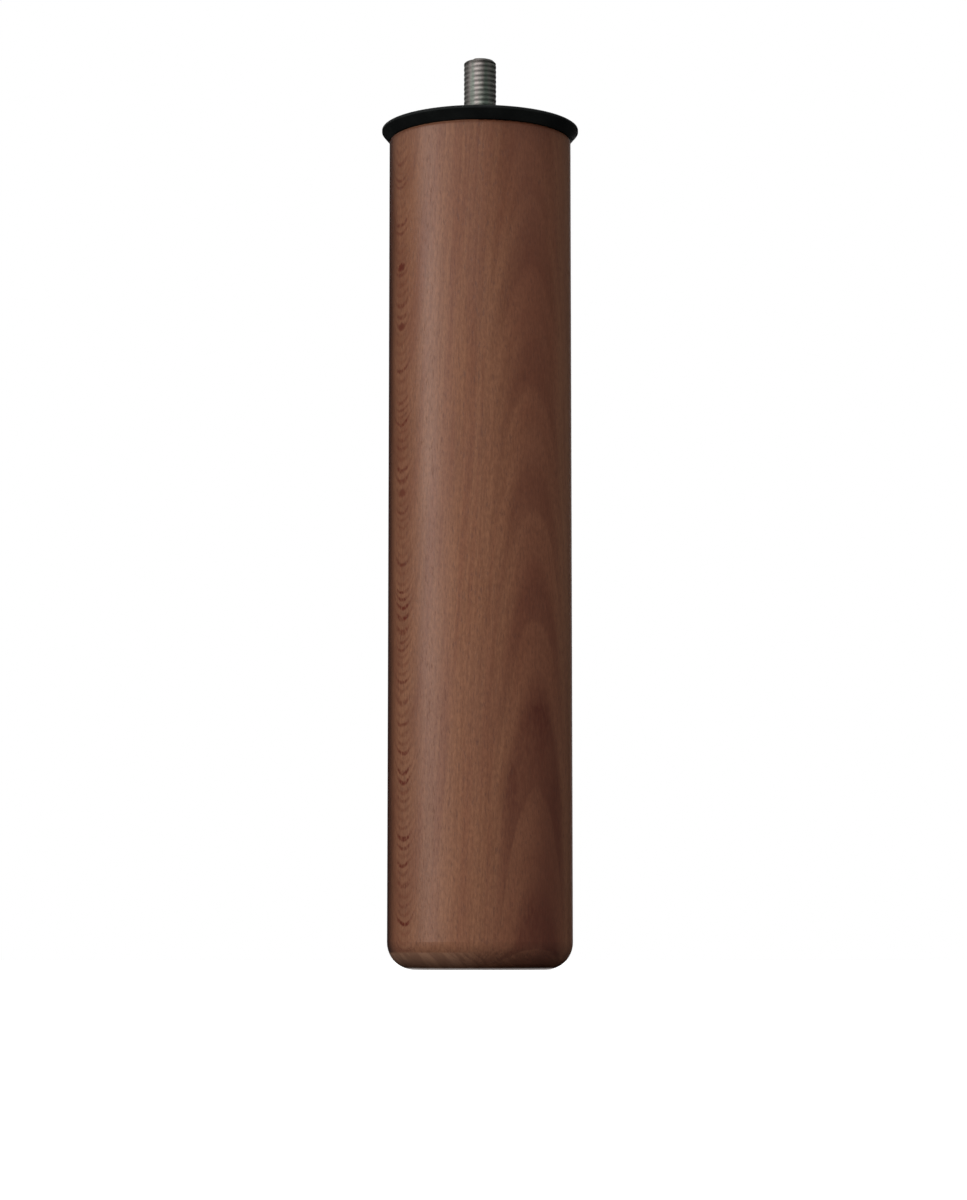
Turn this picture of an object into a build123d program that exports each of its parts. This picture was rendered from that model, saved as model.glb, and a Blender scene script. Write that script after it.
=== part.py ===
from build123d import *
import os
from math import radians, tan

# A turned beech furniture leg for a bed base or a sofa, standing on its foot.
# A hanger bolt is screwed into the top end: its wood screw thread bites in the
# leg and its M10 stud stands proud, through a black plastic disc that lies on
# the wood and keeps it from rubbing on the furniture.
# Millimetres, +Z up along the leg, origin at the centre of the foot's flat face.

# Leg
leg_diameter = 55.0
leg_length = 250.0
foot_rounding = 8.0
top_edge_rounding = 0.8

# Disc between the leg and the furniture
disc_diameter = 59.6
disc_thickness = 3.6
disc_rim_height = 0.9
disc_edge_rounding = 0.3
disc_bore_clearance = 0.4

# Machine end of the hanger bolt, at the M10 thread's outer diameter, and its plain shank
stud_diameter = 10.0
stud_length = 21.4
stud_chamfer = 0.9
shank_diameter = 9.0
shank_depth = 6.0

# Wood screw end of the hanger bolt
screw_root_diameter = 6.4
screw_crest_diameter = 9.0
screw_length = 34.0
screw_point_length = 7.0
screw_point_diameter = 1.0
screw_pitch = 4.0
thread_base_width = 1.7
thread_crest_width = 0.35
thread_run_out = 3.0

# Hole in the top end of the leg
hole_clearance = 0.1
hole_mouth_chamfer = 1.0
drill_spare_depth = 3.0
drill_point_angle = 118.0

# Levels and radii that follow from those sizes
leg_radius = leg_diameter / 2
disc_radius = disc_diameter / 2
stud_radius = stud_diameter / 2
shank_radius = shank_diameter / 2
root_radius = screw_root_diameter / 2
crest_radius = screw_crest_diameter / 2
point_radius = screw_point_diameter / 2
disc_top = leg_length + disc_thickness
stud_top = disc_top + stud_length
shank_bottom = leg_length - shank_depth
screw_bottom = shank_bottom - screw_length
screw_point_top = screw_bottom + screw_point_length

# The ridge starts a little inside the core, so that the two join in one solid. It is
# wound past both ends and trimmed there, by an outline a little outside its crest
ridge_inset = 0.3
trim_margin = 0.4
ridge_start = screw_bottom - screw_pitch / 2
ridge_height = screw_length + screw_pitch


def thread_section(slack):
    """Corners of the ridge's section, as distance from the axis and height, grown by slack."""
    flank = (thread_base_width - thread_crest_width) / 2 / (crest_radius - root_radius)
    inner = root_radius - ridge_inset
    outer = crest_radius + slack
    inner_half = thread_base_width / 2 + flank * ridge_inset + slack
    outer_half = thread_crest_width / 2 + slack / 2
    return [(inner, -inner_half), (inner, inner_half), (outer, outer_half), (outer, -outer_half)]


def trim_outline(slack):
    """Half outline that the ridge keeps inside: it fades in at the point and out at the shank."""
    widest = crest_radius + slack + trim_margin
    return [
        (0, screw_bottom - slack),
        (point_radius + slack, screw_bottom - slack),
        (widest, screw_point_top),
        (widest, shank_bottom - thread_run_out),
        (root_radius + slack, shank_bottom),
        (0, shank_bottom),
    ]


def helical_ridge(slack):
    """The screw thread alone, as a ridge wound about the axis; slack makes the groove for it."""
    reach = crest_radius + slack
    with BuildPart() as ridge:
        with BuildLine():
            path = Helix(screw_pitch, ridge_height, reach, center=(0, 0, ridge_start))
        start = Plane(origin=path @ 0, x_dir=(1, 0, 0), z_dir=path % 0)
        with BuildSketch(start):
            with BuildLine():
                Polyline([(radius - reach, height) for radius, height in thread_section(slack)], close=True)
            make_face()
        sweep(path=path, is_frenet=True)
        with BuildSketch(Plane.XZ):
            with BuildLine():
                Polyline(trim_outline(slack), close=True)
            make_face()
        revolve(axis=Axis.Z, mode=Mode.INTERSECT)
    return ridge.part


screw_ridge = helical_ridge(0)
screw_groove = helical_ridge(hole_clearance)

# Hanger bolt: stud, plain shank and wood screw in one piece
with BuildPart() as hanger_bolt:
    with BuildSketch(Plane.XZ):
        with BuildLine():
            Polyline(
                (0, screw_bottom),
                (point_radius, screw_bottom),
                (root_radius, screw_point_top),
                (root_radius, shank_bottom),
                (shank_radius, shank_bottom),
                (shank_radius, disc_top - stud_radius + shank_radius),
                (stud_radius, disc_top),
                (stud_radius, stud_top - stud_chamfer),
                (stud_radius - stud_chamfer, stud_top),
                (0, stud_top),
                close=True,
            )
        make_face()
    revolve(axis=Axis.Z)
    add(screw_ridge)

# Leg: turned beech, rounded at the foot, drilled for the bolt at the top
hole_radius = root_radius + hole_clearance
mouth_radius = shank_radius + hole_clearance
drill_shoulder = screw_bottom - drill_spare_depth
drill_tip = drill_shoulder - hole_radius / tan(radians(drill_point_angle / 2))

with BuildPart() as leg_body:
    Cylinder(leg_radius, leg_length, align=(Align.CENTER, Align.CENTER, Align.MIN))
    fillet(edges().group_by(Axis.Z)[0], radius=foot_rounding)
    fillet(edges().group_by(Axis.Z)[-1], radius=top_edge_rounding)
    with BuildSketch(Plane.XZ):
        with BuildLine():
            Polyline(
                (0, drill_tip),
                (hole_radius, drill_shoulder),
                (hole_radius, shank_bottom),
                (mouth_radius, shank_bottom),
                (mouth_radius, leg_length - hole_mouth_chamfer),
                (mouth_radius + hole_mouth_chamfer, leg_length),
                (0, leg_length),
                close=True,
            )
        make_face()
    revolve(axis=Axis.Z, mode=Mode.SUBTRACT)
    add(screw_groove, mode=Mode.SUBTRACT)

# Disc: flat on both faces, a thin rim at the top and a bevel down to the wood's diameter
rim_bottom = disc_top - disc_rim_height
bore_radius = stud_radius + disc_bore_clearance

with BuildPart() as top_disc:
    with BuildSketch(Plane.XZ):
        with BuildLine():
            Polyline(
                (bore_radius, leg_length),
                (leg_radius, leg_length),
                (disc_radius, rim_bottom),
                (disc_radius, disc_top),
                (bore_radius, disc_top),
                close=True,
            )
        make_face()
    revolve(axis=Axis.Z)
    rim_edges = edges().filter_by(GeomType.CIRCLE).group_by(SortBy.RADIUS)[-1]
    fillet(rim_edges, radius=disc_edge_rounding)

leg_body.part.label = "leg_body"
top_disc.part.label = "top_disc"
hanger_bolt.part.label = "hanger_bolt"

os.makedirs("parts", exist_ok=True)
for piece in (leg_body, top_disc, hanger_bolt):
    export_step(piece.part, f"parts/{piece.part.label}.step")
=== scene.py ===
# %% [markdown]
# # A turned wooden furniture leg
# The leg is a straight round length of stained beech with a rounded foot. A black
# plastic disc lies on its top end, and the stud of a hanger bolt stands up through it.
# The solids come from the CAD model and stay where they are. This lesson gives them
# their finishes, winds both threads of the bolt, and sets up the studio.

# %% Load the solids
import math

import bmesh
import bpy
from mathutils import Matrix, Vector


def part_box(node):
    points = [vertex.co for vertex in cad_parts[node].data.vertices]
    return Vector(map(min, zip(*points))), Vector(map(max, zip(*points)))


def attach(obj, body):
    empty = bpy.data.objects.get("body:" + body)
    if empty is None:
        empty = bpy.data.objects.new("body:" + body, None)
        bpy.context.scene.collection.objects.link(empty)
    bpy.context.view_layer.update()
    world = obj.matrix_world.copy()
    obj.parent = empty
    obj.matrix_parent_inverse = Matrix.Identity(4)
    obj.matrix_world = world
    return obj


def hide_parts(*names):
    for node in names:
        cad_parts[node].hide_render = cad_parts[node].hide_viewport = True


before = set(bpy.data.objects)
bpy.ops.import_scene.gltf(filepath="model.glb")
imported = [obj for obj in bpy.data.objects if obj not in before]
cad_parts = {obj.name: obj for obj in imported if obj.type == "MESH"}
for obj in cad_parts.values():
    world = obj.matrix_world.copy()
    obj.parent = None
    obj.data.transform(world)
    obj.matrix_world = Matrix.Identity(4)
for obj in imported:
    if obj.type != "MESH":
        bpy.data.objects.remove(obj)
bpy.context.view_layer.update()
scene = bpy.context.scene
print("nodes:", sorted(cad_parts))

# %% [markdown]
# ## Camera
# The photographer stood close to the floor and looked a little upwards, which is why
# the underside of the disc shows and its top doesn't. The straight wood looks about 3%
# wider at its foot than at its top in the picture, so the distance is under a metre.
# Those two facts give the lens as well. The leg stands a hair left of the middle.

# %% Camera
FRAME_WIDTH, FRAME_HEIGHT = 967, 1200
LENS_IN_PIXELS = 3206.2
LOOK_UP = 0.11163
CAMERA_PLACE = (0.00104, -0.95327, 0.003)

camera_data = bpy.data.cameras.new("camera")
camera_data.sensor_fit = "AUTO"
camera_data.sensor_width = 36.0
camera_data.lens = LENS_IN_PIXELS / max(FRAME_WIDTH, FRAME_HEIGHT) * camera_data.sensor_width
camera_data.clip_start = 0.01
camera_data.clip_end = 50.0
camera = bpy.data.objects.new("camera", camera_data)
camera.location = CAMERA_PLACE
camera.rotation_euler = (math.pi / 2 + LOOK_UP, 0.0, 0.0)
scene.collection.objects.link(camera)
scene.camera = camera
print("lens, mm:", round(camera_data.lens, 2))

# %% [markdown]
# ## Small helpers for node trees
# A material is a graph. A few short helpers keep each graph readable: one adds a node
# and fills its inputs by name, and the others add the nodes that come back most often
# and hand back their result. An input is either a plain value or another node's output
# socket. The same helpers serve Geometry Nodes, where the Math nodes are the same.

# %% Node helpers
def put(tree, kind, inputs=None, **settings):
    """Adds a node, sets its settings and fills its inputs."""
    node = tree.nodes.new(kind)
    for name, value in settings.items():
        setattr(node, name, value)
    for name, value in (inputs or {}).items():
        if isinstance(value, bpy.types.NodeSocket):
            tree.links.new(value, node.inputs[name])
        else:
            node.inputs[name].default_value = value
    return node


def calc(tree, operation, first, second=0.0, third=0.0):
    """Adds a Math node and returns its result."""
    inputs = {0: first, 1: second, 2: third}
    return put(tree, "ShaderNodeMath", inputs, operation=operation).outputs["Value"]


def times(tree, first, second):
    """The product of two values."""
    return calc(tree, "MULTIPLY", first, second)


def remap(tree, value, low, high, to_low=0.0, to_high=1.0, smooth=True):
    """Maps low..high to to_low..to_high, held at both ends."""
    node = put(
        tree,
        "ShaderNodeMapRange",
        {"Value": value, "From Min": low, "From Max": high, "To Min": to_low, "To Max": to_high},
        interpolation_type="SMOOTHSTEP" if smooth else "LINEAR",
    )
    return node.outputs["Result"]


def blend(tree, factor, first, second):
    """Mixes two colours."""
    node = put(tree, "ShaderNodeMix", data_type="RGBA")
    for number, value in ((0, factor), (6, first), (7, second)):
        if isinstance(value, bpy.types.NodeSocket):
            tree.links.new(value, node.inputs[number])
        else:
            node.inputs[number].default_value = value
    return node.outputs[2]


def noise(tree, vector, scale, detail=2.0, roughness=0.5):
    """Adds a 3-D Noise texture and returns its value."""
    inputs = {"Vector": vector, "Scale": scale, "Detail": detail, "Roughness": roughness}
    return put(tree, "ShaderNodeTexNoise", inputs).outputs["Fac"]


def stretch(tree, vector, x, y, z):
    """Scales a vector by a different amount along each axis."""
    inputs = {0: vector, 1: (x, y, z)}
    return put(tree, "ShaderNodeVectorMath", inputs, operation="MULTIPLY").outputs["Vector"]


def empty_material(name):
    """Makes a material with an empty node tree."""
    material = bpy.data.materials.new(name)
    material.use_nodes = True
    material.node_tree.nodes.clear()
    return material, material.node_tree


def new_material(name):
    """Makes a node material with one Principled shader."""
    material, tree = empty_material(name)
    shader = put(tree, "ShaderNodeBsdfPrincipled")
    put(tree, "ShaderNodeOutputMaterial", {"Surface": shader.outputs["BSDF"]})
    return material, tree, shader


# %% [markdown]
# ## World
# The background is white paper: the world is white at strength 1 for what the camera
# and reflections see, and softer for the light it sheds. A Mix Shader with the Light
# Path as its factor keeps the two apart, so that a white background doesn't drown the
# leg in light.

# %% World
scene.view_settings.view_transform = "Standard"
WHITE = (1, 1, 1, 1)
WORLD_LIGHT = 0.35


def seen_or_mirrored(tree):
    """1 for rays from the camera, from a reflection or through glass, 0 for shed light."""
    rays = put(tree, "ShaderNodeLightPath").outputs
    mirrored = calc(tree, "MAXIMUM", rays["Is Glossy Ray"], rays["Is Transmission Ray"])
    return calc(tree, "MAXIMUM", rays["Is Camera Ray"], mirrored)


world = bpy.data.worlds.new("paper_background")
world.use_nodes = True
scene.world = world
tree = world.node_tree
tree.nodes.clear()
paper = put(tree, "ShaderNodeBackground", {"Color": WHITE, "Strength": 1.0})
ambient = put(tree, "ShaderNodeBackground", {"Color": WHITE, "Strength": WORLD_LIGHT})
choice = {0: seen_or_mirrored(tree), 1: ambient.outputs[0], 2: paper.outputs[0]}
background = put(tree, "ShaderNodeMixShader", choice)
put(tree, "ShaderNodeOutputWorld", {"Surface": background.outputs[0]})
print("world light:", WORLD_LIGHT)

# %% [markdown]
# ## Floor
# The floor is pale and keeps the leg's shadow. It glows for the camera and for
# reflections, so that it meets the background without a line, and it gives only a
# little light back to the leg. From below it is clear to the camera, so that the
# foot's flat face can be looked at. It lies a tenth of a millimetre under that face,
# because two surfaces in one place flicker.

# %% Floor
FLOOR_GLOW = 0.68
FLOOR_BOUNCE = 0.25
FLOOR_SHED = 0.05
FLOOR_LEVEL = -0.0001

floor_material, tree = empty_material("pale_floor")
paint = put(tree, "ShaderNodeBsdfDiffuse", {"Color": (0.8, 0.8, 0.8, 1)})
glow = put(tree, "ShaderNodeEmission", {"Color": WHITE, "Strength": FLOOR_GLOW})
shown = put(tree, "ShaderNodeAddShader", {0: paint.outputs[0], 1: glow.outputs[0]})
dim_paint = (FLOOR_BOUNCE, FLOOR_BOUNCE, FLOOR_BOUNCE, 1)
bounce = put(tree, "ShaderNodeBsdfDiffuse", {"Color": dim_paint})
shed = put(tree, "ShaderNodeEmission", {"Color": WHITE, "Strength": FLOOR_SHED})
given_back = put(tree, "ShaderNodeAddShader", {0: bounce.outputs[0], 1: shed.outputs[0]})
choice = {0: seen_or_mirrored(tree), 1: given_back.outputs[0], 2: shown.outputs[0]}
from_above = put(tree, "ShaderNodeMixShader", choice)

behind = put(tree, "ShaderNodeNewGeometry").outputs["Backfacing"]
camera_ray = put(tree, "ShaderNodeLightPath").outputs["Is Camera Ray"]
clear = put(tree, "ShaderNodeBsdfTransparent")
choice = {0: times(tree, behind, camera_ray), 1: from_above.outputs[0], 2: clear.outputs[0]}
one_sided = put(tree, "ShaderNodeMixShader", choice)
put(tree, "ShaderNodeOutputMaterial", {"Surface": one_sided.outputs[0]})


def panel(name, centre, across, up, material):
    """A flat four-cornered sheet, given by its centre and its two half edges."""
    mesh = bpy.data.meshes.new(name)
    centre, across, up = Vector(centre), Vector(across), Vector(up)
    low_edge = [centre - across - up, centre + across - up]
    high_edge = [centre + across + up, centre - across + up]
    mesh.from_pydata(low_edge + high_edge, [], [(0, 1, 2, 3)])
    mesh.materials.append(material)
    sheet = bpy.data.objects.new(name, mesh)
    scene.collection.objects.link(sheet)
    return sheet


floor = panel("floor", (0, 0, FLOOR_LEVEL), (6, 0, 0), (0, 6, 0), floor_material)
print("floor, m:", [round(side, 2) for side in floor.dimensions[:2]])

# %% [markdown]
# ## Lamps
# A round leg is lit by what stands round it. A lamp high in front lights the wood
# without a glare, because its mirror image falls on the floor. A tall strip lamp low
# on the left is the one that the varnish mirrors, as a wide pale band.

# %% Lamps
LAMPS_AIM = Vector((0, 0, 0.13))


def around(azimuth, distance, height):
    """A point round the leg: azimuth 0 is towards the camera, positive is to its right."""
    a = math.radians(azimuth)
    return Vector((distance * math.sin(a), -distance * math.cos(a), height))


def soft_box(name, azimuth, distance, height, width, tall, watts):
    """A rectangular lamp that faces the middle of the leg."""
    light = bpy.data.lights.new(name, "AREA")
    light.shape = "RECTANGLE"
    light.size = width
    light.size_y = tall
    light.energy = watts
    lamp = bpy.data.objects.new(name, light)
    lamp.location = around(azimuth, distance, height)
    lamp.rotation_euler = (LAMPS_AIM - lamp.location).to_track_quat("-Z", "Y").to_euler()
    scene.collection.objects.link(lamp)


soft_box("strip_lamp", azimuth=-67, distance=1.1, height=0.14, width=0.56, tall=0.95, watts=3.5)
soft_box("high_front_lamp", azimuth=-22, distance=3.6, height=4.8, width=4.5, tall=4.5, watts=365)

# %% [markdown]
# ## Black cards
# Varnish and plastic mirror the whole room, so a photographer hangs black cards where
# the picture shows no reflection: here behind the left edge, on the right, and behind
# the camera, where a studio is dark, with a black cloth on the floor. Reflections alone
# see them. They are out of the camera's sight, shade nothing and take no light away.

# %% Black cards
card_material, tree = empty_material("black_card")
felt = put(tree, "ShaderNodeBsdfDiffuse", {"Color": (0.03, 0.03, 0.03, 1)})
put(tree, "ShaderNodeOutputMaterial", {"Surface": felt.outputs[0]})


def mirrored_only(sheet):
    """Hides a sheet from the camera, from shed light and from shadows."""
    sheet.visible_camera = False
    sheet.visible_diffuse = False
    sheet.visible_shadow = False


def dark_card(name, azimuth, distance, width, tall):
    """A black card that stands on the floor and faces the leg."""
    a = math.radians(azimuth)
    across = Vector((math.cos(a), math.sin(a), 0)) * width / 2
    centre = around(azimuth, distance, tall / 2 + 0.001)
    mirrored_only(panel(name, centre, across, (0, 0, tall / 2), card_material))


dark_card("left_card", azimuth=-128, distance=0.5, width=1.2, tall=0.44)
dark_card("right_card", azimuth=104, distance=1.0, width=3.4, tall=0.85)
dark_card("room_card", azimuth=8, distance=1.75, width=3.0, tall=1.7)
mirrored_only(panel("dark_cloth", (0, 0, 0.0005), (1.6, 0, 0), (0, 1.6, 0), card_material))

# %% [markdown]
# ## Surface wear shared by every finish
# Nothing real is equally glossy all over. One shader node group makes a slow, cloudy
# unevenness and a fine grain, both from the object's own coordinates in millimetres.
# The wood, the plastic and the steel all use it, each at its own strength.

# %% Node group: surface unevenness
def make_unevenness_group():
    """Values for cloudy and fine unevenness, from a position in millimetres."""
    group = bpy.data.node_groups.new("surface_unevenness", "ShaderNodeTree")
    face = group.interface
    face.new_socket("Position", in_out="INPUT", socket_type="NodeSocketVector")
    for name, size in (("Cloud size", 12.0), ("Grain size", 0.3)):
        face.new_socket(name, in_out="INPUT", socket_type="NodeSocketFloat").default_value = size
    face.new_socket("Clouds", in_out="OUTPUT", socket_type="NodeSocketFloat")
    face.new_socket("Grain", in_out="OUTPUT", socket_type="NodeSocketFloat")
    given = put(group, "NodeGroupInput").outputs
    cloud_scale = calc(group, "DIVIDE", 1.0, given["Cloud size"])
    grain_scale = calc(group, "DIVIDE", 1.0, given["Grain size"])
    clouds = noise(group, given["Position"], cloud_scale, 3.0, 0.55)
    grains = noise(group, given["Position"], grain_scale, 2.0, 0.6)
    put(group, "NodeGroupOutput", {"Clouds": remap(group, clouds, 0.3, 0.7), "Grain": grains})
    return group


unevenness = make_unevenness_group()
print("group:", [s.name for s in unevenness.interface.items_tree])


def millimetres(tree):
    """The object's own coordinates, in millimetres."""
    return stretch(tree, put(tree, "ShaderNodeTexCoord").outputs["Object"], 1000, 1000, 1000)


def uneven(tree, position, cloud_size, grain_size):
    """Adds the shared unevenness group and returns its clouds and its grain."""
    inputs = {"Position": position, "Cloud size": cloud_size, "Grain size": grain_size}
    node = put(tree, "ShaderNodeGroup", inputs, node_tree=unevenness)
    return node.outputs["Clouds"], node.outputs["Grain"]


# %% [markdown]
# ## Stained beech: the rings
# A tree grows in rings, and a turned leg cuts through them. Where its surface lies
# along the rings they show as arcs: on the left of this leg a column of small nested
# cups, and a quarter turn to the right a row of tall pointed flames. In between they
# run up the leg as fine, nearly straight lines. All of that comes from one number,
# the ring coordinate. It is the distance from the leg's axis, stretched towards the
# cups and squeezed towards the flames, plus a little for the height, because the
# rings lean. A cosine of twice the angle sets that stretch, and one of six times the
# angle straightens the lines in between. The peak and the trough of the stretch are
# flattened, which opens the cups and widens the flames. A slight twist turns the whole
# figure along the leg, and a slow sway and a fine ripple keep it from being too neat.

# %% Ring coordinate of the wood
leg_low, leg_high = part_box("leg_body")
LEG_RADIUS = 1000 * (leg_high.x - leg_low.x) / 2
MIDDLE = 500 * (leg_high.z + leg_low.z)
CUPS_AZIMUTH = -55.0
GRAIN_TWIST = 0.022
RING_LEAN = 0.036
RING_MEAN, RING_SWING, RING_STRAIGHTENING = 0.757, 0.2435, 0.03


def true_radius(tree, position):
    """Distance from the axis. The solid's flat facets lie a hair inside the true round."""
    flat = stretch(tree, position, 1, 1, 0)
    radius = put(tree, "ShaderNodeVectorMath", {0: flat}, operation="LENGTH").outputs["Value"]
    on_side = remap(tree, radius, LEG_RADIUS - 0.6, LEG_RADIUS - 0.2)
    missing = calc(tree, "SUBTRACT", LEG_RADIUS, radius)
    return calc(tree, "MULTIPLY_ADD", on_side, missing, radius)


def ring_field(tree, position):
    """Ring coordinate in mm, azimuth, double-angle cosine, angle from the cups, and X, Y, Z."""
    parts = put(tree, "ShaderNodeSeparateXYZ", {0: position}).outputs
    azimuth = calc(tree, "ARCTAN2", parts["X"], times(tree, parts["Y"], -1.0))

    # The angle from the middle of the cups, twisted a little with the height
    start = -math.radians(CUPS_AZIMUTH + GRAIN_TWIST * MIDDLE)
    twist = calc(tree, "MULTIPLY_ADD", parts["Z"], math.radians(GRAIN_TWIST), start)
    turn = calc(tree, "ADD", azimuth, twist)
    turn = calc(tree, "MULTIPLY_ADD", calc(tree, "COSINE", turn), 0.03, turn)
    double = calc(tree, "COSINE", times(tree, turn, 2.0))
    sixfold = calc(tree, "COSINE", times(tree, turn, 6.0))

    # The stretch, flattened at the cups and at the flames
    from_peak = calc(tree, "SUBTRACT", 1.0, double)
    from_trough = calc(tree, "ADD", 1.0, double)
    flatter = times(tree, remap(tree, double, 0.72, 0.93, 0.0, 0.42), from_peak)
    wider = times(tree, remap(tree, double, -0.25, -0.75, 0.0, -0.25), from_trough)
    swing = calc(tree, "ADD", calc(tree, "ADD", double, flatter), wider)
    swing = calc(tree, "MULTIPLY_ADD", sixfold, -RING_STRAIGHTENING, swing)
    share = calc(tree, "MULTIPLY_ADD", swing, RING_SWING, RING_MEAN)
    stretched = times(tree, true_radius(tree, position), share)
    rings = calc(tree, "MULTIPLY_ADD", parts["Z"], RING_LEAN, stretched)

    waves = calc(tree, "SUBTRACT", noise(tree, stretch(tree, position, 0.05, 0.05, 0.015), 1.0), 0.5)
    ripple = calc(tree, "SUBTRACT", noise(tree, stretch(tree, position, 0.12, 0.12, 0.14), 1.0), 0.5)
    sway = times(tree, waves, remap(tree, double, 0.3, 0.9, 0.55, 0.1))
    rings = calc(tree, "ADD", rings, sway)
    rings = calc(tree, "MULTIPLY_ADD", ripple, 0.10, rings)
    off_cups = calc(tree, "ARCTAN2", calc(tree, "SINE", turn), calc(tree, "COSINE", turn))
    return rings, azimuth, double, off_cups, parts


print("leg radius, mm:", round(LEG_RADIUS, 2))

# %% [markdown]
# ## Stained beech: the flames
# Above each flame's tip the wood is dark, and it pales towards the next one. No two
# years of growth are equal, so each flame is given one by one: the height of its tip in
# millimetres, how far into the year it is darkest, and how dark it gets. A Color Ramp
# along the ring coordinate holds them all, and two noises make it patchy.

# %% Flames
FLAMES = (
    (5, 0.28, 1.0), (53, 0.5, 1.0), (100, 0.28, 0.62), (134, 0.28, 0.5),
    (170, 0.3, 0.45), (207, 0.3, 0.42), (245, 0.3, 0.4),
)
FLAME_SHARE = RING_MEAN - RING_SWING * (1 - RING_STRAIGHTENING)
flame_rings = [LEG_RADIUS * FLAME_SHARE + RING_LEAN * tip for tip, _, _ in FLAMES]


def flame_mask(tree, position, rings, double):
    """Dark above each flame's tip, paler up to the next, and only on the flames' side."""
    low, high = flame_rings[0] - 1.0, flame_rings[-1] + 1.5
    spread = remap(tree, rings, low, high, smooth=False)
    ramp = put(tree, "ShaderNodeValToRGB", {"Fac": spread})
    stops = []
    for tip, following, (_, core, depth) in zip(flame_rings, flame_rings[1:] + [high], FLAMES):
        year = following - tip
        faded = tip + (0.35 + 0.75 * core) * year
        stops += [(tip - 0.03, 0.05), (tip + 0.06, 0.8 * depth)]
        stops += [(tip + core * year, depth), (faded, 0.1)]
    elements = ramp.color_ramp.elements
    elements[0].color = (0.3, 0.3, 0.3, 1)
    elements[1].color = (0.2, 0.2, 0.2, 1)
    for ring, value in stops:
        elements.new((ring - low) / (high - low)).color = (value, value, value, 1)

    patchy = noise(tree, stretch(tree, position, 0.07, 0.07, 0.03), 1.0)
    mottled = noise(tree, stretch(tree, position, 1.5, 1.5, 0.35), 1.0, 2.0, 0.6)
    patches = remap(tree, patchy, 0.3, 0.6, 0.65, 1.0)
    patches = times(tree, patches, remap(tree, mottled, 0.35, 0.65, 0.7, 1.05))
    side = remap(tree, double, -0.5, -0.92)
    return times(tree, ramp.outputs["Color"], times(tree, patches, side))


print("ring coordinate at the flame tips, mm:", [round(r, 2) for r in flame_rings])

# %% [markdown]
# ## Stained beech: the cups
# The cups are close-set dark arcs. Counting them off along the ring coordinate gives
# each arc a number, and a White Noise turns that number into a strength of its own.
# Towards their ends the arcs fade, and a noise breaks them up into dashes. In three
# places an arc closes on itself, and there a round spot is drawn.

# %% Cups
CUP_SPACING = 0.10
CUP_KNOTS = ((208, 0.9), (190, 0.8), (140, 0.65))
KNOT_HALF_WIDTH, KNOT_HALF_HEIGHT = 2.5, 1.6


def cup_arcs(tree, rings, parts):
    """Thin arcs, evenly spaced but for a slow noise, and a random strength for each."""
    inputs = {"W": rings, "Scale": 1.6, "Detail": 1.0}
    years = put(tree, "ShaderNodeTexNoise", inputs, noise_dimensions="1D").outputs["Fac"]
    count = calc(tree, "MULTIPLY_ADD", years, 1.6, calc(tree, "DIVIDE", rings, CUP_SPACING))
    # The arcs on the back of the leg get numbers of their own
    side = calc(tree, "GREATER_THAN", parts["X"], 0.0)
    number = calc(tree, "MULTIPLY_ADD", side, 57.0, calc(tree, "FLOOR", count))
    own = put(tree, "ShaderNodeTexWhiteNoise", {"W": number}, noise_dimensions="1D").outputs["Value"]
    off_middle = calc(tree, "ABSOLUTE", calc(tree, "SUBTRACT", calc(tree, "FRACT", count), 0.5))
    return remap(tree, off_middle, 0.08, 0.32, 1.0, 0.0), own


def cup_mask(tree, position, field):
    """Small nested arcs of dark dashes where the surface lies along the rings, and round spots."""
    rings, _, double, off_cups, parts = field
    arc, own = cup_arcs(tree, rings, parts)
    middle = remap(tree, double, 0.955, 0.985)
    ends = remap(tree, double, 0.89, 0.96, 0.0, 0.4)
    ends = calc(tree, "MAXIMUM", ends, remap(tree, double, 0.76, 0.88, 0.0, 0.16))
    where = calc(tree, "MAXIMUM", middle, ends)

    dashes = noise(tree, stretch(tree, position, 1.7, 1.7, 0.9), 1.0)
    own = calc(tree, "MULTIPLY_ADD", calc(tree, "POWER", own, 2.2), 0.84, 0.34)
    strength = times(tree, remap(tree, dashes, 0.40, 0.58, 0.3, 1.0), own)
    strength = times(tree, strength, remap(tree, parts["Z"], 185, 215, 1.0, 0.7))
    arcs = times(tree, times(tree, arc, where), strength)

    sideways = times(tree, off_cups, LEG_RADIUS / KNOT_HALF_WIDTH)
    frayed = calc(tree, "SUBTRACT", dashes, 0.5)
    for height, depth in CUP_KNOTS:
        upward = calc(tree, "DIVIDE", calc(tree, "SUBTRACT", parts["Z"], height), KNOT_HALF_HEIGHT)
        squared = calc(tree, "POWER", upward, 2.0)
        squared = calc(tree, "ADD", calc(tree, "POWER", sideways, 2.0), squared)
        apart = calc(tree, "MULTIPLY_ADD", frayed, 1.2, calc(tree, "SQRT", squared))
        arcs = calc(tree, "MAXIMUM", arcs, remap(tree, apart, 0.5, 1.0, depth, 0.0))
    return arcs


print("round spots:", len(CUP_KNOTS))

# %% [markdown]
# ## Stained beech: streaks, fibres and pores
# Between the marks, the wood is never one colour. Streaks are a noise that is drawn
# out along the ring lines. Fibres and the short open pores of beech run straight up
# the leg, so they are noises that are squeezed across it.

# %% Streaks, fibres and pores
STREAKS_PER_MM = 2.4
BROAD_STREAKS_PER_MM = 0.8


def streak_noise(tree, rings, parts, per_mm, per_height):
    """Noise along the ring lines, drawn out up the leg."""
    across = {
        "X": times(tree, rings, per_mm),
        "Y": times(tree, calc(tree, "SUBTRACT", parts["X"], parts["Y"]), 0.05),
        "Z": times(tree, parts["Z"], per_height),
    }
    space = put(tree, "ShaderNodeCombineXYZ", across).outputs["Vector"]
    return noise(tree, space, 1.0, 3.0, 0.6)


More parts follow.
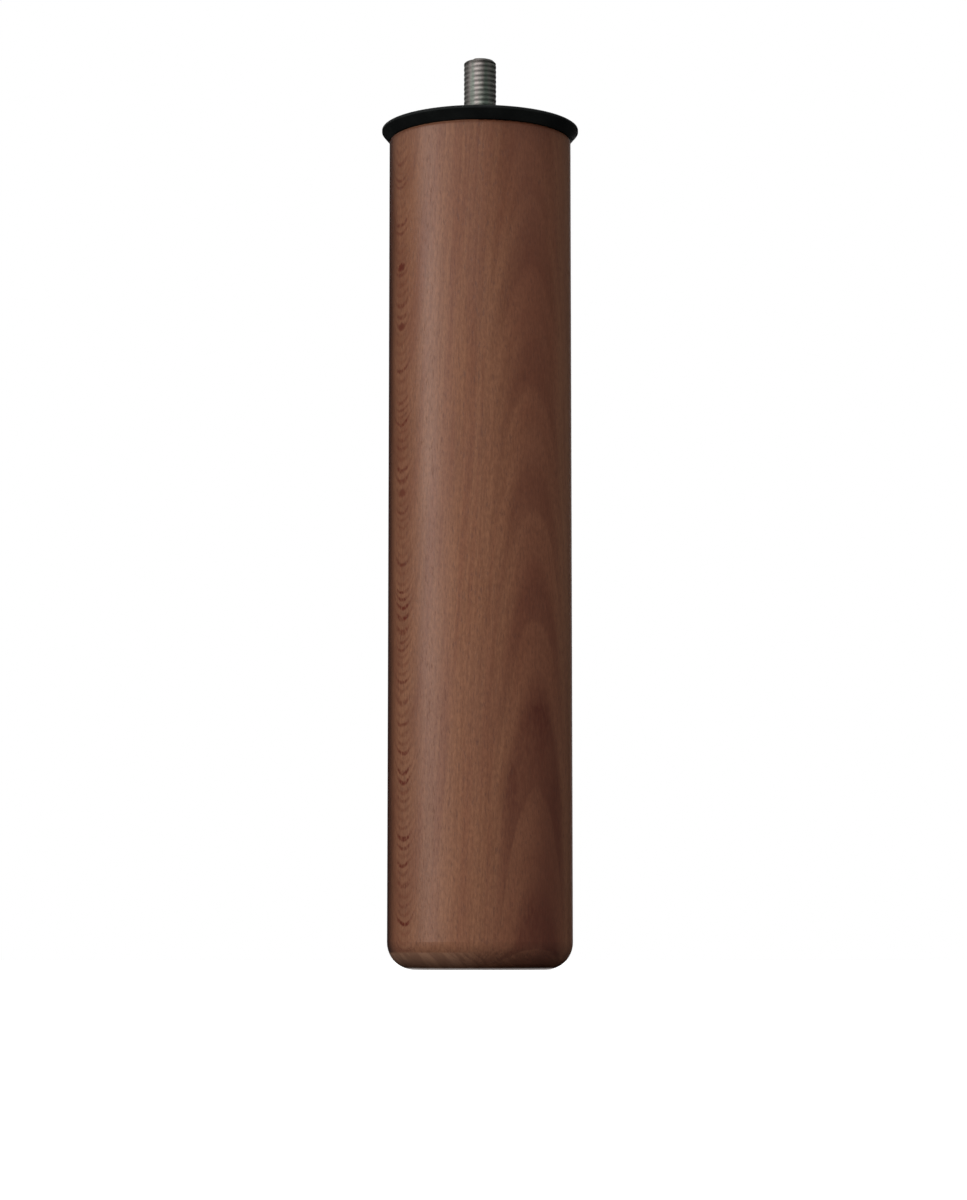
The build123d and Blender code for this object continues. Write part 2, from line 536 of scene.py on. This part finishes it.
def small_marks(tree, position, rings, parts):
    """Streaks, broad streaks, fibres, pores, clouds and grain, each as a value."""
    streaks = streak_noise(tree, rings, parts, STREAKS_PER_MM, 0.03)
    broad = streak_noise(tree, rings, parts, BROAD_STREAKS_PER_MM, 0.012)
    fibres = noise(tree, stretch(tree, position, 2.2, 2.2, 0.09), 1.0, 3.0, 0.6)
    pores = noise(tree, stretch(tree, position, 2.6, 2.6, 0.45), 1.0, 1.0, 0.4)
    clouds, grain = uneven(tree, stretch(tree, position, 1.0, 1.0, 0.3), 14.0, 0.5)
    return streaks, broad, fibres, remap(tree, pores, 0.62, 0.70), clouds, grain


print("streaks per mm of the ring coordinate:", STREAKS_PER_MM, "and", BROAD_STREAKS_PER_MM)

# %% [markdown]
# ## Stained beech: the colour
# The colour is built up in layers, as a stain is: each Mix node lays one brown over
# what is there, with a mask that says where and how much. The palest wood comes first
# and the fine dark marks last. At the right edge, beside the cups and low on the left
# a paler brown is painted light.

# %% Colour of the wood
PALE = (0.254, 0.110, 0.057, 1)
BROWN = (0.158, 0.060, 0.030, 1)
REDDISH_BROWN = (0.160, 0.046, 0.026, 1)
FLAME = (0.090, 0.022, 0.014, 1)
REDDISH = (0.092, 0.007, 0.003, 1)
DARK = (0.085, 0.028, 0.015, 1)
LEFT_EDGE_PAINTED_SHADE = (0.038, 0.012, 0.007, 1)
PAINTED_LIGHT_BROWN = (0.300, 0.158, 0.096, 1)


def painted_light_places(tree, azimuth, height):
    """How much painted light brightens the stain: at the right edge, beside the cups and low on the
    left.
    """
    right_edge = remap(tree, azimuth, 0.87, 1.45, 0.0, 0.42)
    right_edge = times(tree, right_edge, remap(tree, azimuth, 2.6, 2.0))
    right_edge = times(tree, right_edge, remap(tree, height, 40, 150))
    beside_cups = remap(tree, azimuth, -1.08, -0.92)
    beside_cups = times(tree, beside_cups, remap(tree, azimuth, -0.72, -0.84))
    beside_cups = times(tree, beside_cups, remap(tree, height, 230, 60, 0.03, 0.13))
    leftness = calc(tree, "COSINE", calc(tree, "ADD", azimuth, 0.6))
    low_left = times(tree, remap(tree, leftness, 0.80, 0.90), remap(tree, height, 150, 30, 0.0, 0.08))
    return calc(tree, "ADD", right_edge, calc(tree, "ADD", beside_cups, low_left))


def figure_tone(tree, position, field, marks):
    """Colour of the wood with its streaks, flames, pores and cups, and its painted light and shade."""
    rings, azimuth, double, _, parts = field
    streaks, broad, fibres, pores, clouds, grain = marks
    tone = blend(tree, times(tree, remap(tree, streaks, 0.38, 0.72), 0.45), PALE, BROWN)
    tone = blend(tree, remap(tree, broad, 0.42, 0.65, 0.0, 0.34), tone, REDDISH_BROWN)
    tone = blend(tree, times(tree, remap(tree, fibres, 0.45, 0.8), 0.26), tone, DARK)

    # The flames' side is redder, and darker low on the right
    rightness = remap(tree, azimuth, 0.15, 0.6, 0.2, 1.0)
    flame_side = times(tree, remap(tree, double, -0.55, -0.95), rightness)
    low_right = times(tree, remap(tree, parts["Z"], 95, 30), remap(tree, azimuth, 0.5, 0.8))
    flames = flame_mask(tree, position, rings, double)
    tone = blend(tree, times(tree, flame_side, 0.4), tone, REDDISH_BROWN)
    tone = blend(tree, times(tree, low_right, times(tree, flame_side, 0.5)), tone, FLAME)
    tone = blend(tree, times(tree, flames, 0.95), tone, FLAME)
    # Painted light: a paler brown at the right edge, beside the cups and low on the left
    tone = blend(tree, painted_light_places(tree, azimuth, parts["Z"]), tone, PAINTED_LIGHT_BROWN)

    # Fine marks lie over all that, and painted shade darkens the whole a little towards the top
    tone = blend(tree, times(tree, pores, 0.42), tone, DARK)
    tone = blend(tree, cup_mask(tree, position, field), tone, REDDISH)
    tone = blend(tree, times(tree, clouds, 0.15), tone, BROWN)
    tone = blend(tree, remap(tree, grain, 0.3, 0.7, 0.0, 0.36), tone, DARK)
    return blend(tree, remap(tree, parts["Z"], 110, 240, 0.0, 0.10), tone, DARK)


print("stained wood and left_edge_painted_shade:", PALE[:3], LEFT_EDGE_PAINTED_SHADE[:3])

# %% [markdown]
# ## Stained beech: the edges
# The left edge of the leg is a stripe of painted shade. Round the foot the lathe cuts
# across the fibres, and such end grain drinks stain in its own way, with slanted dark
# marks. Painted light makes the foot duller and paler on the left, and where it faces down it
# is darker, partly as end grain and partly as painted shade. The sharp arris under the disc is thinly
# varnished and darkened by painted shade.

# %% Edges of the wood
LEG_TOP = 1000 * leg_high.z


def edge_tone(tree, tone, azimuth, parts, clouds):
    """Adds the painted shade at the left edge, the foot's end grain with its painted light and shade,
    and the arris with its painted shade, and says where varnish is missing.
    """
    wander = calc(tree, "MULTIPLY_ADD", clouds, 0.06, azimuth)
    # Painted shade: a dark stripe along the left edge
    stripe = times(tree, remap(tree, wander, -1.02, -1.36), remap(tree, wander, -2.2, -1.7))
    tone = blend(tree, stripe, tone, LEFT_EDGE_PAINTED_SHADE)

    normal = put(tree, "ShaderNodeNewGeometry").outputs["Normal"]
    slope = calc(tree, "ABSOLUTE", put(tree, "ShaderNodeSeparateXYZ", {0: normal}).outputs["Z"])
    slanted = {
        "X": times(tree, calc(tree, "ADD", parts["X"], parts["Z"]), 0.5),
        "Y": times(tree, calc(tree, "SUBTRACT", parts["X"], parts["Z"]), 0.07),
        "Z": times(tree, parts["Y"], 0.2),
    }
    space = put(tree, "ShaderNodeCombineXYZ", slanted).outputs["Vector"]
    dark_marks = remap(tree, noise(tree, space, 1.0, 2.0, 0.6), 0.42, 0.62, 0.0, 0.4)
    band = remap(tree, slope, 0.35, 0.42)
    # Painted light: the foot's rounding is paler on its lit left side
    leftness = calc(tree, "COSINE", calc(tree, "ADD", azimuth, 1.2))
    paler = remap(tree, leftness, 0.25, 0.82, 0.0, 0.85)
    paler = times(tree, paler, remap(tree, slope, 0.96, 1.0, 1.0, 0.4))
    tone = blend(tree, times(tree, band, paler), tone, PAINTED_LIGHT_BROWN)
    tone = blend(tree, times(tree, band, dark_marks), tone, DARK)
    # Partly darker end grain, partly painted shade: darker where the surface faces down
    tone = blend(tree, remap(tree, slope, 0.5, 0.95, 0.0, 0.4), tone, DARK)

    # Painted shade darkens the arris under the disc, where the varnish is thin too
    arris = remap(tree, parts["Z"], LEG_TOP - 1.4, LEG_TOP - 0.5)
    tone = blend(tree, times(tree, arris, 0.6), tone, DARK)
    bare = calc(tree, "MAXIMUM", arris, remap(tree, slope, 0.985, 1.0))
    return tone, bare


print("top of the wood, mm:", round(LEG_TOP, 2))

# %% [markdown]
# ## Stained beech: the varnish
# The varnish is satin: it mirrors the lamp as a soft band. It is a little duller over
# the pores, and missing on the bare edges. It sinks into the pores and leaves the
# fibres just to be felt, which a Bump node gives from the same masks as the colour.

# %% Wood material
def make_beech():
    """Stained and varnished beech."""
    material, tree, shader = new_material("stained_beech")
    position = millimetres(tree)
    field = ring_field(tree, position)
    rings, azimuth, _, _, parts = field
    marks = small_marks(tree, position, rings, parts)
    _, _, fibres, pores, clouds, grain = marks
    tone = figure_tone(tree, position, field, marks)
    tone, bare = edge_tone(tree, tone, azimuth, parts, clouds)
    tree.links.new(tone, shader.inputs["Base Color"])

    gloss = calc(tree, "MULTIPLY_ADD", clouds, 0.06, 0.33)
    tree.links.new(calc(tree, "MULTIPLY_ADD", pores, 0.12, gloss), shader.inputs["Roughness"])
    level = calc(tree, "MULTIPLY_ADD", bare, -0.38, 0.42)
    tree.links.new(level, shader.inputs["Specular IOR Level"])

    relief = calc(tree, "MULTIPLY_ADD", pores, -0.6, times(tree, fibres, 0.4))
    relief = calc(tree, "MULTIPLY_ADD", grain, 0.15, relief)
    bump = put(tree, "ShaderNodeBump", {"Height": relief, "Strength": 0.25, "Distance": 0.0001})
    tree.links.new(bump.outputs["Normal"], shader.inputs["Normal"])
    return material


beech = make_beech()
print("beech nodes:", len(beech.node_tree.nodes))

# %% [markdown]
# ## Black moulded plastic
# The disc is moulded in black plastic with a dull, slightly pitted skin. It reflects
# little, so a low specular level and a fine bump are enough, with faint scuffs that
# make the skin a little greyer and rougher in places.

# %% Plastic material
def make_black_plastic():
    """Dull black moulded plastic."""
    material, tree, shader = new_material("black_plastic")
    position = millimetres(tree)
    clouds, grain = uneven(tree, position, 9.0, 0.22)
    tone = blend(tree, clouds, (0.0065, 0.0075, 0.0075, 1), (0.0110, 0.0125, 0.0120, 1))
    tree.links.new(tone, shader.inputs["Base Color"])
    tree.links.new(calc(tree, "MULTIPLY_ADD", clouds, 0.12, 0.5), shader.inputs["Roughness"])
    shader.inputs["Specular IOR Level"].default_value = 0.09
    bump = put(tree, "ShaderNodeBump", {"Height": grain, "Strength": 0.5, "Distance": 0.00004})
    tree.links.new(bump.outputs["Normal"], shader.inputs["Normal"])
    return material


black_plastic = make_black_plastic()
print("plastic nodes:", len(black_plastic.node_tree.nodes))

# %% [markdown]
# ## Zinc-plated steel
# Bolts like this are rolled from steel and plated with a few thousandths of a
# millimetre of zinc. The plating is a soft grey metal with a faint play of pink and
# green, and painted shade darkens the tip. The metal is brushed by the rolling, so
# it is anisotropic: with the tangent up the bolt, each reflection is drawn out along
# it, and the stud shows upright bands of light instead of one spark per turn.

# %% Steel material
PINKISH_ZINC = (0.25, 0.22, 0.21, 1)
GREENISH_ZINC = (0.155, 0.195, 0.16, 1)
CLOUDY_ZINC = (0.17, 0.18, 0.16, 1)
TIP_PAINTED_SHADE = (0.035, 0.033, 0.030, 1)
bolt_low, bolt_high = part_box("hanger_bolt")


def make_zinc_steel():
    """Zinc-plated steel with a passivated tint."""
    material, tree, shader = new_material("zinc_plated_steel")
    position = millimetres(tree)
    clouds, grain = uneven(tree, position, 2.5, 0.12)
    tint = noise(tree, stretch(tree, position, 0.35, 0.35, 0.03), 1.0)
    tone = blend(tree, remap(tree, tint, 0.35, 0.65), PINKISH_ZINC, GREENISH_ZINC)
    tone = blend(tree, times(tree, clouds, 0.35), tone, CLOUDY_ZINC)
    height = put(tree, "ShaderNodeSeparateXYZ", {0: position}).outputs["Z"]
    end = 1000 * bolt_high.z
    # Painted shade: the tip is darkened
    tone = blend(tree, remap(tree, height, end - 2.2, end - 0.6, 0.0, 0.75), tone, TIP_PAINTED_SHADE)
    tree.links.new(tone, shader.inputs["Base Color"])
    shader.inputs["Metallic"].default_value = 1.0
    tree.links.new(calc(tree, "MULTIPLY_ADD", clouds, 0.10, 0.50), shader.inputs["Roughness"])
    shader.inputs["Anisotropic"].default_value = 0.7
    upward = put(tree, "ShaderNodeCombineXYZ", {"X": 0.03, "Y": 0.02, "Z": 1.0})
    tree.links.new(upward.outputs["Vector"], shader.inputs["Tangent"])
    bump = put(tree, "ShaderNodeBump", {"Height": grain, "Strength": 0.3, "Distance": 0.00003})
    tree.links.new(bump.outputs["Normal"], shader.inputs["Normal"])
    return material


zinc_steel = make_zinc_steel()
print("steel nodes:", len(zinc_steel.node_tree.nodes))

# %% [markdown]
# ## The bolt's threads
# A screw thread follows a rule: a ridge of one section winds round the axis and rises
# by its pitch in each turn. A modelled spiral is fiddly, so here a flat grid is rolled
# into a tube by Geometry Nodes. Each row of the grid is one line of the section, and
# the grid is sheared by one pitch, so that a row ends one pitch above where it
# started and the rows join into a spiral. The first and the last row are drawn
# together on the axis, and close the tube at both ends. The tree takes the sizes as
# named inputs, and the same tree makes the M10 thread above and the wood screw below.

# %% Geometry Nodes: sizes of a screw thread
THREAD_SIZES = {
    "Bottom": 0.0, "Top": 0.02, "Crest radius": 0.005, "Root radius": 0.004, "Pitch": 0.0015,
    "Root share": 0.25, "Crest share": 0.88, "Bottom radius": 0.004, "Bottom slope": 1.0,
    "Top radius": 0.004, "Top slope": 1.0, "Notch depth": 0.0, "Notch start": 0.0, "Notch end": 1.0,
}
THREAD_COUNTS = {"Rows per turn": 14, "Columns": 96}


def thread_sockets(tree):
    """Gives the thread tree its named inputs and its output."""
    face = tree.interface
    for name, size in THREAD_SIZES.items():
        face.new_socket(name, in_out="INPUT", socket_type="NodeSocketFloat").default_value = size
    for name, count in THREAD_COUNTS.items():
        face.new_socket(name, in_out="INPUT", socket_type="NodeSocketInt").default_value = count
    face.new_socket("Finish", in_out="INPUT", socket_type="NodeSocketMaterial")
    face.new_socket("Geometry", in_out="OUTPUT", socket_type="NodeSocketGeometry")


print("thread inputs:", len(THREAD_SIZES) + len(THREAD_COUNTS), "numbers and a finish")


# %% Geometry Nodes: height and radius of each point
def thread_height(tree, given, step, turn, before_last):
    """A point's height: its row, plus its share of one pitch, held between both ends."""
    risen = calc(tree, "SUBTRACT", calc(tree, "ADD", step, turn), 1.0)
    free_height = calc(tree, "MULTIPLY_ADD", risen, given["Pitch"], given["Bottom"])
    start, end = given["Notch start"], given["Notch end"]
    into_notch = times(
        tree,
        remap(tree, turn, start, calc(tree, "ADD", start, 0.03)),
        remap(tree, turn, calc(tree, "SUBTRACT", end, 0.02), end, 1.0, 0.0),
    )
    notch = times(tree, times(tree, into_notch, given["Notch depth"]), before_last)
    top = calc(tree, "SUBTRACT", given["Top"], notch)
    return calc(tree, "MINIMUM", calc(tree, "MAXIMUM", free_height, given["Bottom"]), top)


def thread_radius(tree, given, step, height):
    """A point's radius: the thread's section, kept inside a cone at each end."""
    wave = times(tree, calc(tree, "PINGPONG", step, 0.5), 2.0)
    section = remap(tree, wave, given["Root share"], given["Crest share"])
    depth = calc(tree, "SUBTRACT", given["Crest radius"], given["Root radius"])
    radius = calc(tree, "MULTIPLY_ADD", section, depth, given["Root radius"])
    from_bottom = calc(tree, "SUBTRACT", height, given["Bottom"])
    low_cone = calc(tree, "MULTIPLY_ADD", from_bottom, given["Bottom slope"], given["Bottom radius"])
    from_top = calc(tree, "SUBTRACT", given["Top"], height)
    high_cone = calc(tree, "MULTIPLY_ADD", from_top, given["Top slope"], given["Top radius"])
    return calc(tree, "MINIMUM", radius, calc(tree, "MINIMUM", low_cone, high_cone))


# %% Geometry Nodes: screw thread
def make_thread_tree():
    """A closed rod with a right-hand thread, made from a rolled and sheared grid."""
    tree = bpy.data.node_groups.new("screw_thread", "GeometryNodeTree")
    thread_sockets(tree)
    given = put(tree, "NodeGroupInput").outputs

    length = calc(tree, "SUBTRACT", given["Top"], given["Bottom"])
    turns = calc(tree, "CEIL", calc(tree, "DIVIDE", length, given["Pitch"]))
    turns = calc(tree, "ADD", turns, 1.0)
    rows = calc(tree, "MULTIPLY_ADD", turns, given["Rows per turn"], 3.0)
    columns = calc(tree, "ADD", given["Columns"], 1.0)
    counts = {"Vertices X": columns, "Vertices Y": rows, "Size X": 1.0, "Size Y": 1.0}
    grid = put(tree, "GeometryNodeMeshGrid", counts)

    place = put(tree, "GeometryNodeInputPosition").outputs[0]
    place = put(tree, "ShaderNodeSeparateXYZ", {0: place}).outputs
    turn = calc(tree, "ADD", place["X"], 0.5)
    along = calc(tree, "ADD", place["Y"], 0.5)
    row = calc(tree, "ROUND", times(tree, along, calc(tree, "SUBTRACT", rows, 1.0)))
    step = calc(tree, "DIVIDE", calc(tree, "SUBTRACT", row, 1.0), given["Rows per turn"])
    before_last = calc(tree, "LESS_THAN", row, calc(tree, "SUBTRACT", rows, 1.5))
    after_first = calc(tree, "GREATER_THAN", row, 0.5)

    height = thread_height(tree, given, step, turn, before_last)
    radius = thread_radius(tree, given, step, height)
    radius = times(tree, radius, times(tree, after_first, before_last))
    angle = times(tree, turn, 2 * math.pi)
    rolled = {
        "X": times(tree, radius, calc(tree, "COSINE", angle)),
        "Y": times(tree, radius, calc(tree, "SINE", angle)),
        "Z": height,
    }
    rolled = put(tree, "ShaderNodeCombineXYZ", rolled).outputs[0]
    moved = put(tree, "GeometryNodeSetPosition", {"Geometry": grid.outputs["Mesh"], "Position": rolled})
    near = {"Geometry": moved.outputs[0], "Distance": 0.000002}
    welded = put(tree, "GeometryNodeMergeByDistance", near)
    smooth = put(tree, "GeometryNodeSetShadeSmooth", {"Geometry": welded.outputs[0]})
    real = put(tree, "GeometryNodeRealizeInstances", {"Geometry": smooth.outputs[0]})
    finish = {"Geometry": real.outputs[0], "Material": given["Finish"]}
    painted = put(tree, "GeometryNodeSetMaterial", finish)
    put(tree, "NodeGroupOutput", {"Geometry": painted.outputs[0]})
    return tree


thread_tree = make_thread_tree()
print("thread nodes:", len(thread_tree.nodes))


# %% Make a plain mesh from the tree
def made_by(tree, name, values):
    """Runs a Geometry Nodes tree with the given inputs and returns a plain mesh."""
    carrier = bpy.data.objects.new(name, bpy.data.meshes.new(name))
    scene.collection.objects.link(carrier)
    modifier = carrier.modifiers.new("made", "NODES")
    modifier.node_group = tree
    sockets = {s.name: s.identifier for s in tree.interface.items_tree if s.in_out == "INPUT"}
    for key, value in values.items():
        modifier[sockets[key]] = value
    evaluated = carrier.evaluated_get(bpy.context.evaluated_depsgraph_get())
    mesh = bpy.data.meshes.new_from_object(evaluated)
    bpy.data.objects.remove(carrier)
    return mesh


# %% [markdown]
# ## Both threads
# The stud carries an M10 thread of 1.5 mm pitch, which measures 9.8 mm over its crests.
# It shows soft and shallow in the picture, under its plating, so it is only a tenth of
# a millimetre deep here. Its tip is bevelled, and a small step is left in it where the
# thread begins. The wood screw hides inside the leg: it is coarse, sharp and pointed.

# %% Both threads, in metres
disc_low, disc_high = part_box("top_disc")
THREAD_RADIUS = 0.0049
THREAD_PITCH = 0.0015
THREAD_DEPTH = 0.0001
SHANK_RADIUS = 0.0045
SHANK_BOTTOM = disc_low.z - 0.006
print("stud above the disc, mm:", round(1000 * (bolt_high.z - disc_high.z), 2))

stud_mesh = made_by(
    thread_tree, "stud_thread",
    {
        "Bottom": disc_high.z - 0.0022, "Top": bolt_high.z - 0.00001, "Pitch": THREAD_PITCH,
        "Crest radius": THREAD_RADIUS, "Root radius": THREAD_RADIUS - THREAD_DEPTH,
        "Root share": 0.12, "Crest share": 0.88, "Bottom radius": 0.0042, "Bottom slope": 1.0,
        "Top radius": 0.0041, "Top slope": 1.0,
        "Notch depth": 0.0004, "Notch start": 0.47, "Notch end": 0.69,
        "Rows per turn": 14, "Columns": 96, "Finish": zinc_steel,
    },
)
screw_mesh = made_by(
    thread_tree, "wood_screw",
    {
        "Bottom": bolt_low.z, "Top": SHANK_BOTTOM + 0.0005, "Pitch": 0.004,
        "Crest radius": 0.0045, "Root radius": 0.0032, "Root share": 0.6, "Crest share": 0.93,
        "Bottom radius": 0.0005, "Bottom slope": 0.386, "Top radius": 0.0032, "Top slope": 0.5,
        "Notch depth": 0.0, "Rows per turn": 14, "Columns": 48, "Finish": zinc_steel,
    },
)
print("stud faces:", len(stud_mesh.polygons), "screw faces:", len(screw_mesh.polygons))

# %% [markdown]
# ## The whole bolt
# Three closed shells make the bolt: the M10 thread, the plain shank in the disc and
# the wood, and the wood screw. Each one reaches a little into the next. The shank is a
# turned piece, so it is made from its half outline, swept round the axis.

# %% Shank
def turned(profile, columns, material, name):
    """A closed body of revolution from (radius, height) points, with both ends on the axis."""
    builder = bmesh.new()
    angles = [2 * math.pi * i / columns for i in range(columns)]
    rings = []
    for radius, height in profile:
        circle = [(radius * math.cos(a), radius * math.sin(a), height) for a in angles]
        points = circle if radius > 0 else [(0, 0, height)]
        rings.append([builder.verts.new(point) for point in points])
    for low, high in zip(rings, rings[1:]):
        for i in range(columns):
            j = (i + 1) % columns
            corners = [low[i % len(low)], low[j % len(low)], high[j % len(high)], high[i % len(high)]]
            builder.faces.new(list(dict.fromkeys(corners)))
    mesh = bpy.data.meshes.new(name)
    builder.to_mesh(mesh)
    builder.free()
    mesh.materials.append(material)
    mesh.polygons.foreach_set("use_smooth", [True] * len(mesh.polygons))
    return mesh


SHANK_TOP = disc_high.z - 0.0015
SHANK_BEVEL = 0.0004
shank_mesh = turned(
    [
        (0, SHANK_BOTTOM),
        (SHANK_RADIUS - SHANK_BEVEL, SHANK_BOTTOM),
        (SHANK_RADIUS, SHANK_BOTTOM + SHANK_BEVEL),
        (SHANK_RADIUS, SHANK_TOP - SHANK_BEVEL),
        (SHANK_RADIUS - SHANK_BEVEL, SHANK_TOP),
        (0, SHANK_TOP),
    ],
    64, zinc_steel, "shank",
)
print("shank faces:", len(shank_mesh.polygons))

# %% Assembly of the bolt
builder = bmesh.new()
for mesh in (stud_mesh, shank_mesh, screw_mesh):
    builder.from_mesh(mesh)
whole = bpy.data.meshes.new("threaded_bolt")
builder.to_mesh(whole)
open_edges = sum(1 for e in builder.edges if not e.is_manifold)
volume = builder.calc_volume(signed=True) * 1e9
builder.free()
whole.materials.append(zinc_steel)
whole.polygons.foreach_set("use_smooth", [True] * len(whole.polygons))
threaded_bolt = bpy.data.objects.new("threaded_bolt", whole)
scene.collection.objects.link(threaded_bolt)
print("bolt faces:", len(whole.polygons), "open edges:", open_edges, "volume, mm3:", round(volume))

# %% [markdown]
# ## Putting it together
# The leg and the disc keep their CAD solids and only get a material. The new bolt
# stands for the plain one: it hides that node and rides on the same body.

# %% Assign materials and ride on the frame
for node, material in (("leg_body", beech), ("top_disc", black_plastic), ("hanger_bolt", zinc_steel)):
    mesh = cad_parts[node].data
    mesh.materials.clear()
    mesh.materials.append(material)

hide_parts("hanger_bolt")
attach(threaded_bolt, "root")
print("visible pieces:", ["leg_body", "top_disc", threaded_bolt.name])
